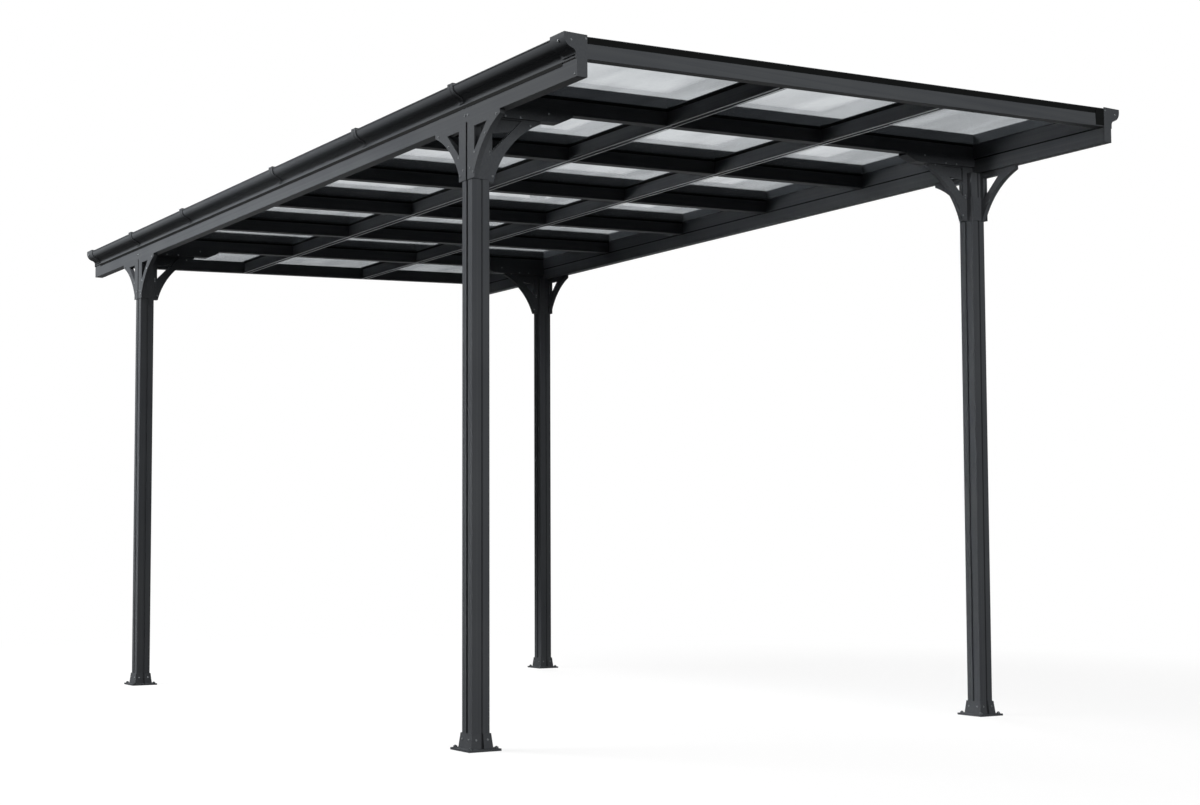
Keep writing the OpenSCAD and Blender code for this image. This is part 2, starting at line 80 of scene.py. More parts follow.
class Corner(Enum):
    """The four posts, each with its side (X) and its end (Y)."""

    FRONT_LEFT = (-1, -1)
    FRONT_RIGHT = (1, -1)
    REAR_LEFT = (-1, 1)
    REAR_RIGHT = (1, 1)

    @property
    def label(self) -> str:
        """Name as the nodes have it."""
        return self.name.lower()

    @property
    def side_label(self) -> str:
        """Name of the side as the nodes have it."""
        return "left" if self.value[0] < 0 else "right"


def linear(colour: str) -> tuple[float, float, float, float]:
    """Turn an sRGB hex colour into linear values.

    Args:
        colour: The colour as "#rrggbb".

    Returns:
        Linear red, green and blue, and an alpha of one.
    """
    parts = [int(colour[i : i + 2], 16) / 255 for i in (1, 3, 5)]
    red, green, blue = (p / 12.92 if p <= 0.04045 else ((p + 0.055) / 1.055) ** 2.4 for p in parts)
    return red, green, blue, 1.0


def add_node(
    tree: bpy.types.NodeTree, kind: str, inputs: dict[Any, Any] | None = None, **settings: Any
) -> bpy.types.Node:
    """Add one node with its settings and links.

    Args:
        tree: The node tree that gets the node.
        kind: The node's type name.
        inputs: A value or an output socket for each input, by its name or number.
        settings: The node's own properties.

    Returns:
        The new node.
    """
    node = tree.nodes.new(kind)
    for name, value in settings.items():
        setattr(node, name, value)
    for name, value in (inputs or {}).items():
        if isinstance(value, bpy.types.NodeSocket):
            tree.links.new(value, node.inputs[name])
        else:
            node.inputs[name].default_value = value
    return node


def new_material(name: str) -> tuple[bpy.types.Material, bpy.types.NodeTree]:
    """Start an empty node material.

    Args:
        name: The material's name.

    Returns:
        The material and its node tree.
    """
    material = bpy.data.materials.new(name)
    material.use_nodes = True
    material.node_tree.nodes.clear()
    return material, material.node_tree


def dress(node_name: str, material: bpy.types.Material) -> None:
    """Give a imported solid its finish.

    Args:
        node_name: The solid's name.
        material: Its finish.
    """
    solid = frame["nodes"][node_name]
    solid.data.materials.clear()
    solid.data.materials.append(material)
    LOG.info("dressed %s in %s", node_name, material.name)


@dataclass(frozen=True)
class PowderCoat:
    """Polyester powder coat on aluminium: matt, with a spray's stipple and the die lines of the profile beneath."""

    name: str
    run: Run
    colour: str = "#3d3f42"
    light_colour: str = "#444648"
    roughness: float = 0.55
    # Far under the usual 0.5, so that the faces stay as flat and dark as in the photograph
    specular: float = 0.015
    # A real stipple is about 0.4 mm, which is too fine to show, so it is drawn coarser
    stipple_mm: float = 3.0
    stipple_depth_mm: float = 0.3
    stipple_strength: float = 0.12
    die_line_mm: float = 9.0
    die_run_mm: float = 2600.0
    cloud_mm: float = 420.0
    # Share of the die lines in the pattern, the two ends of its range, and how far the gloss follows it
    line_share: float = 0.5
    dark_at: float = 0.38
    light_at: float = 0.62
    gloss_swing: float = 0.08

    def build(self) -> bpy.types.Material:
        """Make the material.

        Returns:
            The finished material.
        """
        material, tree = new_material(self.name)
        place = add_node(tree, "ShaderNodeTexCoord").outputs["Object"]
        spacing = [self.die_run_mm if axis else self.die_line_mm for axis in self.run.value]
        scale = [1 / (size * MM) for size in spacing]
        lines_at = add_node(tree, "ShaderNodeMapping", {"Vector": place, "Scale": scale})
        lines = add_node(
            tree, "ShaderNodeTexNoise", {"Vector": lines_at.outputs[0], "Scale": 1.0, "Detail": 2.0, "Roughness": 0.6}
        )
        clouds = add_node(
            tree, "ShaderNodeTexNoise", {"Vector": place, "Scale": 1 / (self.cloud_mm * MM), "Detail": 3.0}
        )
        mixed = add_node(
            tree,
            "ShaderNodeMix",
            {"Factor": self.line_share, "A": lines.outputs["Fac"], "B": clouds.outputs["Fac"]},
        )
        tone = add_node(tree, "ShaderNodeValToRGB", {"Fac": mixed.outputs["Result"]})
        tone.color_ramp.elements[0].position = self.dark_at
        tone.color_ramp.elements[0].color = linear(self.colour)
        tone.color_ramp.elements[1].position = self.light_at
        tone.color_ramp.elements[1].color = linear(self.light_colour)
        rough = add_node(
            tree,
            "ShaderNodeMapRange",
            {
                "Value": lines.outputs["Fac"],
                "To Min": self.roughness - self.gloss_swing,
                "To Max": self.roughness + self.gloss_swing,
            },
        )
        stipple = add_node(
            tree, "ShaderNodeTexNoise", {"Vector": place, "Scale": 1 / (self.stipple_mm * MM), "Detail": 1.0}
        )
        bump = add_node(
            tree,
            "ShaderNodeBump",
            {
                "Strength": self.stipple_strength,
                "Distance": self.stipple_depth_mm * MM,
                "Height": stipple.outputs["Fac"],
            },
        )
        shader = add_node(
            tree,
            "ShaderNodeBsdfPrincipled",
            {
                "Base Color": tone.outputs["Color"],
                "Roughness": rough.outputs["Result"],
                "Specular IOR Level": self.specular,
                "Normal": bump.outputs["Normal"],
            },
        )
        add_node(tree, "ShaderNodeOutputMaterial", {"Surface": shader.outputs[0]})
        return material


@dataclass(frozen=True)
class ClearSheet:
    """Extruded acrylic sheet: clear and glossy, with lighter bands at a slant in its colour, which are painted
    reflections.
    """

    name: str = "clear_acrylic_sheet"
    colour: str = "#b2b6b9"
    # Lighter colour of the slanted bands: painted reflections
    streak_colour: str = "#c4c8cb"
    roughness: float = 0.05
    # Below acrylic's own 1.49, so that reflections at a low angle stay as faint as in the photograph
    ior: float = 1.1
    # Width, length and slant of the bands of painted reflection
    streak_mm: float = 150.0
    streak_run_mm: float = 520.0
    streak_slant: float = math.radians(24.0)
    # The two ends of the painted reflections' range
    plain_at: float = 0.36
    streak_at: float = 0.60

    def build(self) -> bpy.types.Material:
        """Make the material.

        Returns:
            The finished material.
        """
        material, tree = new_material(self.name)
        place = add_node(tree, "ShaderNodeTexCoord").outputs["Object"]
        # Painted reflections: lighter bands at a slant, mixed into the sheet's colour
        turned = add_node(
            tree,
            "ShaderNodeMapping",
            {
                "Vector": place,
                "Rotation": (0.0, 0.0, self.streak_slant),
                "Scale": (1 / (self.streak_mm * MM), 1 / (self.streak_run_mm * MM), 1.0),
            },
        )
        reflection_bands = add_node(
            tree, "ShaderNodeTexNoise", {"Vector": turned.outputs[0], "Scale": 1.0, "Detail": 2.0, "Roughness": 0.45}
        )
        tone = add_node(tree, "ShaderNodeValToRGB", {"Fac": reflection_bands.outputs["Fac"]})
        tone.color_ramp.elements[0].position = self.plain_at
        tone.color_ramp.elements[0].color = linear(self.colour)
        tone.color_ramp.elements[1].position = self.streak_at
        tone.color_ramp.elements[1].color = linear(self.streak_colour)
        shader = add_node(
            tree,
            "ShaderNodeBsdfPrincipled",
            {
                "Base Color": tone.outputs["Color"],
                "Roughness": self.roughness,
                "IOR": self.ior,
                "Transmission Weight": 1.0,
            },
        )
        add_node(tree, "ShaderNodeOutputMaterial", {"Surface": shader.outputs[0]})
        return material


@dataclass(frozen=True)
class SealRubber:
    """Extruded EPDM rubber: deep black and matt, with a fine bloom."""

    name: str = "black_seal_rubber"
    colour: str = "#080909"
    bloom_colour: str = "#101111"
    roughness: float = 0.7
    # Far under the usual 0.5, so that thin strips stay black beside bright panes
    specular: float = 0.03
    bloom_mm: float = 60.0

    def build(self) -> bpy.types.Material:
        """Make the material.

        Returns:
            The finished material.
        """
        material, tree = new_material(self.name)
        place = add_node(tree, "ShaderNodeTexCoord").outputs["Object"]
        bloom = add_node(
            tree, "ShaderNodeTexNoise", {"Vector": place, "Scale": 1 / (self.bloom_mm * MM), "Detail": 4.0}
        )
        tone = add_node(tree, "ShaderNodeValToRGB", {"Fac": bloom.outputs["Fac"]})
        tone.color_ramp.elements[0].color = linear(self.colour)
        tone.color_ramp.elements[1].color = linear(self.bloom_colour)
        shader = add_node(
            tree,
            "ShaderNodeBsdfPrincipled",
            {"Base Color": tone.outputs["Color"], "Roughness": self.roughness, "Specular IOR Level": self.specular},
        )
        add_node(tree, "ShaderNodeOutputMaterial", {"Surface": shader.outputs[0]})
        return material


@dataclass(frozen=True)
class ZincPlate:
    """Zinc-plated steel: a grey metal with soft, cloudy crystals."""

    name: str = "zinc_plated_steel"
    colour: str = "#6c6f71"
    dull_colour: str = "#595c5e"
    metallic: float = 0.9
    roughness: float = 0.42
    crystal_mm: float = 1.5

    def build(self) -> bpy.types.Material:
        """Make the material.

        Returns:
            The finished material.
        """
        material, tree = new_material(self.name)
        place = add_node(tree, "ShaderNodeTexCoord").outputs["Object"]
        crystals = add_node(tree, "ShaderNodeTexVoronoi", {"Vector": place, "Scale": 1 / (self.crystal_mm * MM)})
        tone = add_node(tree, "ShaderNodeValToRGB", {"Fac": crystals.outputs["Distance"]})
        tone.color_ramp.elements[0].color = linear(self.dull_colour)
        tone.color_ramp.elements[1].color = linear(self.colour)
        shader = add_node(
            tree,
            "ShaderNodeBsdfPrincipled",
            {"Base Color": tone.outputs["Color"], "Metallic": self.metallic, "Roughness": self.roughness},
        )
        add_node(tree, "ShaderNodeOutputMaterial", {"Surface": shader.outputs[0]})
        return material


@dataclass(frozen=True)
class MillAluminium:
    """Bright bare aluminium for the strips of painted highlight under the purlins: a soft sheen with fine lines along
    its length.
    """

    name: str = "mill_aluminium"
    # Light greys, so that the strips show as painted highlights
    colour: str = "#8a8d8f"
    line_colour: str = "#a0a3a5"
    roughness: float = 0.3
    line_mm: float = 0.8
    line_run_mm: float = 300.0

    def build(self) -> bpy.types.Material:
        """Make the material.

        Returns:
            The finished material.
        """
        material, tree = new_material(self.name)
        place = add_node(tree, "ShaderNodeTexCoord").outputs["Object"]
        spacing = (self.line_mm, self.line_run_mm, self.line_mm)
        scale = [1 / (size * MM) for size in spacing]
        lines_at = add_node(tree, "ShaderNodeMapping", {"Vector": place, "Scale": scale})
        lines = add_node(tree, "ShaderNodeTexNoise", {"Vector": lines_at.outputs[0], "Scale": 1.0, "Detail": 2.0})
        tone = add_node(tree, "ShaderNodeValToRGB", {"Fac": lines.outputs["Fac"]})
        tone.color_ramp.elements[0].color = linear(self.colour)
        tone.color_ramp.elements[1].color = linear(self.line_colour)
        shader = add_node(
            tree,
            "ShaderNodeBsdfPrincipled",
            {"Base Color": tone.outputs["Color"], "Metallic": 1.0, "Roughness": self.roughness},
        )
        add_node(tree, "ShaderNodeOutputMaterial", {"Surface": shader.outputs[0]})
        return material


@dataclass
class FrameDressing:
    """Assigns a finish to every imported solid, by how that piece was made."""

    drawn_up: tuple[str, ...] = ("post_",)
    drawn_along: tuple[str, ...] = (
        "side_beam_",
        "gutter_left",
        "gutter_right",
        "gutter_sleeves_",
        "purlin_",
        "cover_bars_along",
    )
    drawn_across: tuple[str, ...] = ("edge_beam_", "cross_beam_", "cover_bars_across")

    def build(self) -> None:
        """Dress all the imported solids."""
        coats = {run: PowderCoat(f"powder_coat_{run.name.lower()}", run).build() for run in Run}
        sheet = ClearSheet().build()
        rubber = SealRubber().build()
        for name in sorted(frame["nodes"]):
            if name.startswith("panes_"):
                dress(name, sheet)
            elif name == "edge_seals":
                dress(name, rubber)
            else:
                dress(name, coats[self.run_of(name)])

    def run_of(self, name: str) -> Run:
        """Say how a piece was drawn.

        Args:
            name: The solid's name.

        Returns:
            The direction of its die lines.
        """
        for run, stems in ((Run.UP, self.drawn_up), (Run.ALONG, self.drawn_along), (Run.ACROSS, self.drawn_across)):
            if name.startswith(stems):
                return run
        return Run.NONE


def pick_faces(piece: bpy.types.Object, test: Callable[[bpy.types.MeshPolygon], bool]) -> None:
    """Select the faces that pass a test, and go into edit mode.

    Args:
        piece: The mesh object, which is the active one.
        test: Says whether a face is wanted.
    """
    bpy.ops.object.mode_set(mode="OBJECT")
    bpy.context.tool_settings.mesh_select_mode = (False, False, True)
    for item in (*piece.data.vertices, *piece.data.edges):
        item.select = False
    for face in piece.data.polygons:
        face.select = test(face)
    bpy.ops.object.mode_set(mode="EDIT")


def highest(piece: bpy.types.Object) -> Callable[[bpy.types.MeshPolygon], bool]:
    """Make a test for the level face at the top of a mesh.

    Args:
        piece: The mesh object.

    Returns:
        The test.
    """
    top = max(v.co.z for v in piece.data.vertices)
    level = 1e-3 * MM
    return lambda face: face.normal.z > FACING and face.center.z > top - level


def join(parts: list[bpy.types.Object]) -> bpy.types.Object:
    """Join mesh objects into the first of them.

    Args:
        parts: The objects.

    Returns:
        The joined object, which is the active one.
    """
    bpy.ops.object.select_all(action="DESELECT")
    for part in parts:
        part.select_set(True)
    bpy.context.view_layer.objects.active = parts[0]
    bpy.ops.object.join()
    return bpy.context.view_layer.objects.active


def make_piece(parts: list[bpy.types.Object], name: str, material: bpy.types.Material) -> None:
    """Join parts into one piece with its finish.

    Args:
        parts: The parts, each with its place in its mesh.
        name: The piece's name.
        material: Its finish.
    """
    piece = join(parts)
    piece.name = name
    piece.data.materials.append(material)
    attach(piece, BODY)
    LOG.info("made %s from %d parts", name, len(parts))


def place_copies(master: bpy.types.Object, spots: list[Spot], name: str, material: bpy.types.Material) -> None:
    """Copy a fastener to its places and join the copies into one piece.

    Args:
        master: The fastener, standing on the origin along +Z.
        spots: Where each copy sits, and the direction that it stands in.
        name: The piece's name.
        material: The piece's finish.
    """
    copies = []
    for point, normal in spots:
        copy = bpy.data.objects.new(name, master.data.copy())
        copy.data.transform(Matrix.Translation(point) @ normal.to_track_quat("Z", "Y").to_matrix().to_4x4())
        bpy.context.scene.collection.objects.link(copy)
        copies.append(copy)
    make_piece(copies, name, material)


def face_of(node_name: str, axis: int, way: int) -> float:
    """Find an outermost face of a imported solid.

    Args:
        node_name: The solid's name.
        axis: The axis that the face looks along.
        way: Minus one for the face at the low end and one for that at the high end.

    Returns:
        The face's place on the axis.
    """
    low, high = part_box(node_name)
    return (high if way > 0 else low)[axis]


@dataclass(frozen=True)
class RoofPlane:
    """The plane of the panes' undersides, which falls from the right beam to the left one."""

    left_x: float
    left_z: float
    right_x: float
    right_z: float
    # How far the beams and the brace shoes reach down from the plane
    beam_depth: float = 70.0 * MM
    shoe_depth: float = 108.0 * MM

    @classmethod
    def from_frame(cls) -> "RoofPlane":
        """Read the plane from the first cross beam.

        Returns:
            The plane.
        """
        low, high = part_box("cross_beam_1")
        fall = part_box("side_beam_right")[0].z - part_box("side_beam_left")[0].z
        return cls(low.x, high.z - fall, high.x, high.z)

    def height(self, x: float) -> float:
        """Find the plane's height.

        Args:
            x: The place on X.

        Returns:
            The height on Z.
        """
        share = (x - self.left_x) / (self.right_x - self.left_x)
        return self.left_z + share * (self.right_z - self.left_z)

    def lay(self, x: float, y: float, rise: float) -> Matrix:
        """Find the place of a piece that lies along the plane.

        Args:
            x: The place of its middle on X.
            y: The place of its middle on Y.
            rise: The height of its middle above the plane.

        Returns:
            The piece's place and tilt.
        """
        slope = math.atan2(self.right_z - self.left_z, self.right_x - self.left_x)
        return Matrix.Translation((x, y, self.height(x) + rise)) @ Matrix.Rotation(-slope, 4, "Y")


def model_strip(size: tuple[float, float, float], lip: float, place: Matrix) -> bpy.types.Object:
    """Model a strip with a drawn-in foot below its upper half.

    Args:
        size: The strip's size on X, Y and Z.
        lip: How far the foot is drawn in.
        place: Where the strip's middle goes.

    Returns:
        The strip, with its place in its mesh.
    """
    height = size[2]
    bpy.ops.object.select_all(action="DESELECT")
    bpy.ops.mesh.primitive_cube_add(size=1.0)
    strip = bpy.context.view_layer.objects.active
    strip.data.transform(Matrix.Diagonal((*size[:2], height / 2, 1.0)))
    strip.data.transform(Matrix.Translation((0.0, 0.0, height / 4)))
    pick_faces(strip, lambda face: face.normal.z < -FACING)
    bpy.ops.mesh.inset(thickness=lip)
    bpy.ops.mesh.extrude_region_move(TRANSFORM_OT_translate={"value": (0.0, 0.0, -height / 2)})
    bpy.ops.object.mode_set(mode="OBJECT")
    strip.data.transform(place)
    return strip


@dataclass
class BeamGaskets:
    """Black rubber strips in the shadow gaps between the side beams and the gutters, with a lip on the outer face:
    painted shade, dark pieces that deepen the shade in the gaps and widen the dark line below them.
    """

    gap_height: float = 7.0 * MM
    gap_depth: float = 5.0 * MM
    set_back: float = 1.0 * MM
    clearance: float = 0.2 * MM
    # How far the lip reaches down over the beam's face, widening the painted shade
    lip_lap: float = 7.0 * MM
    lip_thickness: float = 1.6 * MM
    # How far a foot is drawn in, as a share of the thickness of a strip and of a lip
    strip_draw: float = 1 / 8
    lip_draw: float = 1 / 4

    def lip(self, side: str) -> bpy.types.Object:
        """Model the lip that closes the gap on a beam's outer face, between the gutter's end caps; it widens the
        painted shade there.

        Args:
            side: "left" or "right".

        Returns:
            The modelled strip.
        """
        low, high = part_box(f"side_beam_{side}")
        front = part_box(f"gutter_cap_front_{side}")[1].y + self.clearance
        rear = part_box(f"gutter_cap_rear_{side}")[0].y - self.clearance
        reach = self.clearance + self.lip_thickness / 2
        x = low.x - reach if side == "left" else high.x + reach
        top = self.gap_height - self.clearance
        place = Vector((x, (front + rear) / 2, high.z + (top - self.lip_lap) / 2))
        size = (self.lip_thickness, rear - front, top + self.lip_lap)
        return model_strip(size, self.lip_thickness * self.lip_draw, Matrix.Translation(place))

    def build(self) -> None:
        """Model a strip of painted shade for each side of each beam and a lip for each outer face, and join them into
        one piece.
        """
        size_x = self.gap_depth - self.set_back - self.clearance
        size_z = self.gap_height - 2 * self.clearance
        strips = []
        for side in SIDES:
            low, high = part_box(f"side_beam_{side}")
            for edge, inward in ((low.x, 1), (high.x, -1)):
                place = Vector((edge + inward * (self.set_back + size_x / 2), 0.0, high.z + self.gap_height / 2))
                size = (size_x, high.y - low.y, size_z)
                strips.append(model_strip(size, size_x * self.strip_draw, Matrix.Translation(place)))
            strips.append(self.lip(side))
        # The black strips and lips are painted shade along the gaps
        make_piece(strips, "beam_gaskets", SealRubber("black_beam_rubber").build())


@dataclass
class PurlinTrims:
    """Two bright aluminium strips under each purlin, in one length below the cross beams: painted highlights along
    the purlins' lower edges.
    """

    width: float = 2.8 * MM
    height: float = 2.4 * MM
    # Distance of a strip from the purlin's middle line
    spread: float = 17.5 * MM
    clearance: float = 0.3 * MM
    # How far a strip's foot is drawn in, as a share of its width
    draw: float = 1 / 6

    def build(self) -> None:
        """Model the strips of painted highlight and join them into one piece."""
        roof = RoofPlane.from_frame()
        drop = roof.beam_depth + self.clearance + self.height / 2
        highlight_strips = []
        for side in SIDES:
            low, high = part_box(f"purlin_{side}")
            size = (self.width, high.y - low.y, self.height)
            for way in (-1, 1):
                x = (low.x + high.x) / 2 + way * self.spread
                highlight_strips.append(model_strip(size, self.width * self.draw, roof.lay(x, (low.y + high.y) / 2, -drop)))
        # Bright strips: painted highlights on the purlins' lower edges
        make_piece(highlight_strips, "purlin_trims", MillAluminium().build())


@dataclass
class EdgePads:
    """Black pads on the faces of the edge beams, at their high ends, which make these ends dark."""

    length: float = 52.0 * MM
    thickness: float = 3.0 * MM
    height: float = 64.0 * MM
    # How far a pad's middle lies below the roof's plane, and its back behind the beam's face
    drop: float = 34.0 * MM
    sunk: float = 0.4 * MM
    # How far a pad's foot is drawn in, as a share of its thickness
    draw: float = 1 / 5

    def build(self) -> None:
        """Model the pads and join them into one piece."""
        roof = RoofPlane.from_frame()
        size = (self.length, self.thickness, self.height)
        pads = []
        for end, beam in ((-1, "edge_beam_front"), (1, "edge_beam_rear")):
            x = face_of(beam, X, 1) - self.length / 2
            y = face_of(beam, Y, end) + end * (self.thickness / 2 - self.sunk)
            pads.append(model_strip(size, self.thickness * self.draw, roof.lay(x, y, -self.drop)))
        make_piece(pads, "edge_pads", SealRubber("black_pad_rubber").build())


@dataclass
class BraceWebs:
    """Thin pressed webs that close the upper part of the cross braces' windows."""

    thickness: float = 8.0 * MM
    panel_inset: float = 5.0 * MM
    panel_depth: float = 1.2 * MM
    # The web's corners in millimetres: distance from the post's inner face, and drop below the shoe's underside
    top_near: tuple[float, float] = (27.0, 4.0)
    top_far: tuple[float, float] = (167.0, 4.0)
    foot_far: tuple[float, float] = (121.0, 50.0)
    foot_near: tuple[float, float] = (27.0, 64.0)

    def build(self) -> None:
        """Model the webs and join them into one piece."""
        webs = [self.web(corner) for corner in Corner]
        make_piece(webs, "brace_webs", PowderCoat("powder_coat_web", Run.NONE).build())

    def web(self, corner: Corner) -> bpy.types.Object:
        """Model one web with a pressed panel on each side.

        Args:
            corner: The post's corner.

        Returns:
            The web, with its place in its mesh.
        """
        side = corner.value[0]
        low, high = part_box(f"post_{corner.label}")
        inner = face_of(f"post_{corner.label}", X, -side)
        middle = (low.y + high.y) / 2
        roof = RoofPlane.from_frame()
        bpy.ops.object.select_all(action="DESELECT")
        bpy.ops.mesh.primitive_plane_add(size=1.0)
        web = bpy.context.view_layer.objects.active
        outline = (self.top_near, self.top_far, self.foot_far, self.foot_near)
        for index, (along, drop) in zip(web.data.polygons[0].vertices, outline):
            x = inner - side * along * MM
            z = roof.height(x) - roof.shoe_depth - drop * MM
            web.data.vertices[index].co = Vector((x, middle - self.thickness / 2, z))
        web.data.update()
        pick_faces(web, lambda face: True)
        bpy.ops.mesh.extrude_region_move(TRANSFORM_OT_translate={"value": (0.0, self.thickness, 0.0)})
        bpy.ops.mesh.select_all(action="SELECT")
        bpy.ops.mesh.normals_make_consistent(inside=False)
        for way in (-1, 1):
            pick_faces(web, lambda face: face.normal.y * way > FACING)
            bpy.ops.mesh.inset(thickness=self.panel_inset, depth=-self.panel_depth)
        bpy.ops.object.mode_set(mode="OBJECT")
        return web


@dataclass
class GlazingGaskets:
    """Black rubber strips between the panes and the tops of the cross beams and purlins."""

    height: float = 9.0 * MM
    proud: float = 1.5 * MM
    lip: float = 1.0 * MM
    clearance: float = 0.3 * MM
    # Widths of the beams and the purlins, whose top edges the strips cover
    cross_web: float = 36.0 * MM
    purlin_web: float = 30.0 * MM
    cross_beams: int = 6

    def build(self) -> None:
        """Model the strips and join them into one piece."""
        roof = RoofPlane.from_frame()
        length = math.hypot(roof.right_x - roof.left_x, roof.right_z - roof.left_z)
        drop = self.height / 2 + self.clearance
        strips = []
        for number in range(1, self.cross_beams + 1):
            low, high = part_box(f"cross_beam_{number}")
            size = (length, self.cross_web + 2 * self.proud, self.height)
            place = roof.lay((roof.left_x + roof.right_x) / 2, (low.y + high.y) / 2, -drop)
            strips.append(model_strip(size, self.lip, place))
        for side in SIDES:
            low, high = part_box(f"purlin_{side}")
            size = (self.purlin_web + 2 * self.proud, high.y - low.y, self.height)
            place = roof.lay((low.x + high.x) / 2, (low.y + high.y) / 2, -drop)
            strips.append(model_strip(size, self.lip, place))
        make_piece(strips, "glazing_gaskets", SealRubber("black_gasket_rubber").build())


@dataclass
class PanScrew:
    """Pan-head screw with a pressed flange and a round socket."""

    flange_r: float = 4.4 * MM
    flange_t: float = 0.9 * MM
    crown_h: float = 2.2 * MM
    crown_share: float = 0.72
    # Height of the crown's straight wall, as a share of the crown
    wall_share: float = 0.6
    # Widths of the flange's rim and of the rim round the socket, as shares of the flange's radius
    flange_rim: float = 0.18
    socket_rim: float = 0.2
    socket_depth: float = 1.2 * MM
    sides: int = 16

    def build(self) -> bpy.types.Object:
        """Model one screw head.

        Returns:
            The head, standing on the origin along +Z.
        """
        bpy.ops.object.select_all(action="DESELECT")
        bpy.ops.mesh.primitive_cylinder_add(
            vertices=self.sides, radius=self.flange_r, depth=self.flange_t, location=(0.0, 0.0, self.flange_t / 2)
        )
        bpy.ops.object.transform_apply(location=True, rotation=True, scale=True)
        head = bpy.context.view_layer.objects.active
        pick_faces(head, highest(head))
        wall_h = self.crown_h * self.wall_share
        bpy.ops.mesh.inset(thickness=self.flange_r * self.flange_rim)
        bpy.ops.mesh.extrude_region_move(TRANSFORM_OT_translate={"value": (0.0, 0.0, wall_h)})
        bpy.ops.mesh.extrude_region_move(TRANSFORM_OT_translate={"value": (0.0, 0.0, self.crown_h - wall_h)})
        bpy.ops.transform.resize(value=(self.crown_share, self.crown_share, 1.0))
        bpy.ops.mesh.inset(thickness=self.flange_r * self.socket_rim)
        bpy.ops.mesh.extrude_region_move(TRANSFORM_OT_translate={"value": (0.0, 0.0, -self.socket_depth)})
        bpy.ops.object.mode_set(mode="OBJECT")
        bpy.ops.object.shade_smooth_by_angle(angle=SMOOTH_ANGLE)
        return head


@dataclass
class AnchorBolt:
    """Hexagon nut on a round washer, with the end of the anchor's stud."""

    washer_r: float = 9.5 * MM
    washer_t: float = 1.6 * MM
    washer_sides: int = 24
    nut_r: float = 8.0 * MM
    nut_h: float = 5.5 * MM
    nut_sides: int = 6
    stud_r: float = 4.2 * MM
    stud_h: float = 2.5 * MM
    stud_sides: int = 16
    chamfer: float = 0.9 * MM
    # The most of a layer's height that its chamfer takes
    chamfer_share: float = 0.3

    def build(self) -> bpy.types.Object:
        """Model one anchor.

        Returns:
            The anchor, standing on the origin along +Z.
        """
        layers = (
            (self.washer_sides, self.washer_r, self.washer_t, 0.0),
            (self.nut_sides, self.nut_r, self.nut_h, self.washer_t),
            (self.stud_sides, self.stud_r, self.stud_h, self.washer_t + self.nut_h),
        )
        pieces = []
        for sides, radius, height, foot in layers:
            bpy.ops.object.select_all(action="DESELECT")
            bpy.ops.mesh.primitive_cylinder_add(
                vertices=sides, radius=radius, depth=height, location=(0.0, 0.0, foot + height / 2)
            )
            bpy.ops.object.transform_apply(location=True, rotation=True, scale=True)
            layer = bpy.context.view_layer.objects.active
            pick_faces(layer, highest(layer))
            bpy.ops.mesh.bevel(offset=min(self.chamfer, height * self.chamfer_share), segments=2, affect="EDGES")
            bpy.ops.object.mode_set(mode="OBJECT")
            pieces.append(layer)
        anchor = join(pieces)
        bpy.ops.object.shade_smooth_by_angle(angle=SMOOTH_ANGLE)
        return anchor


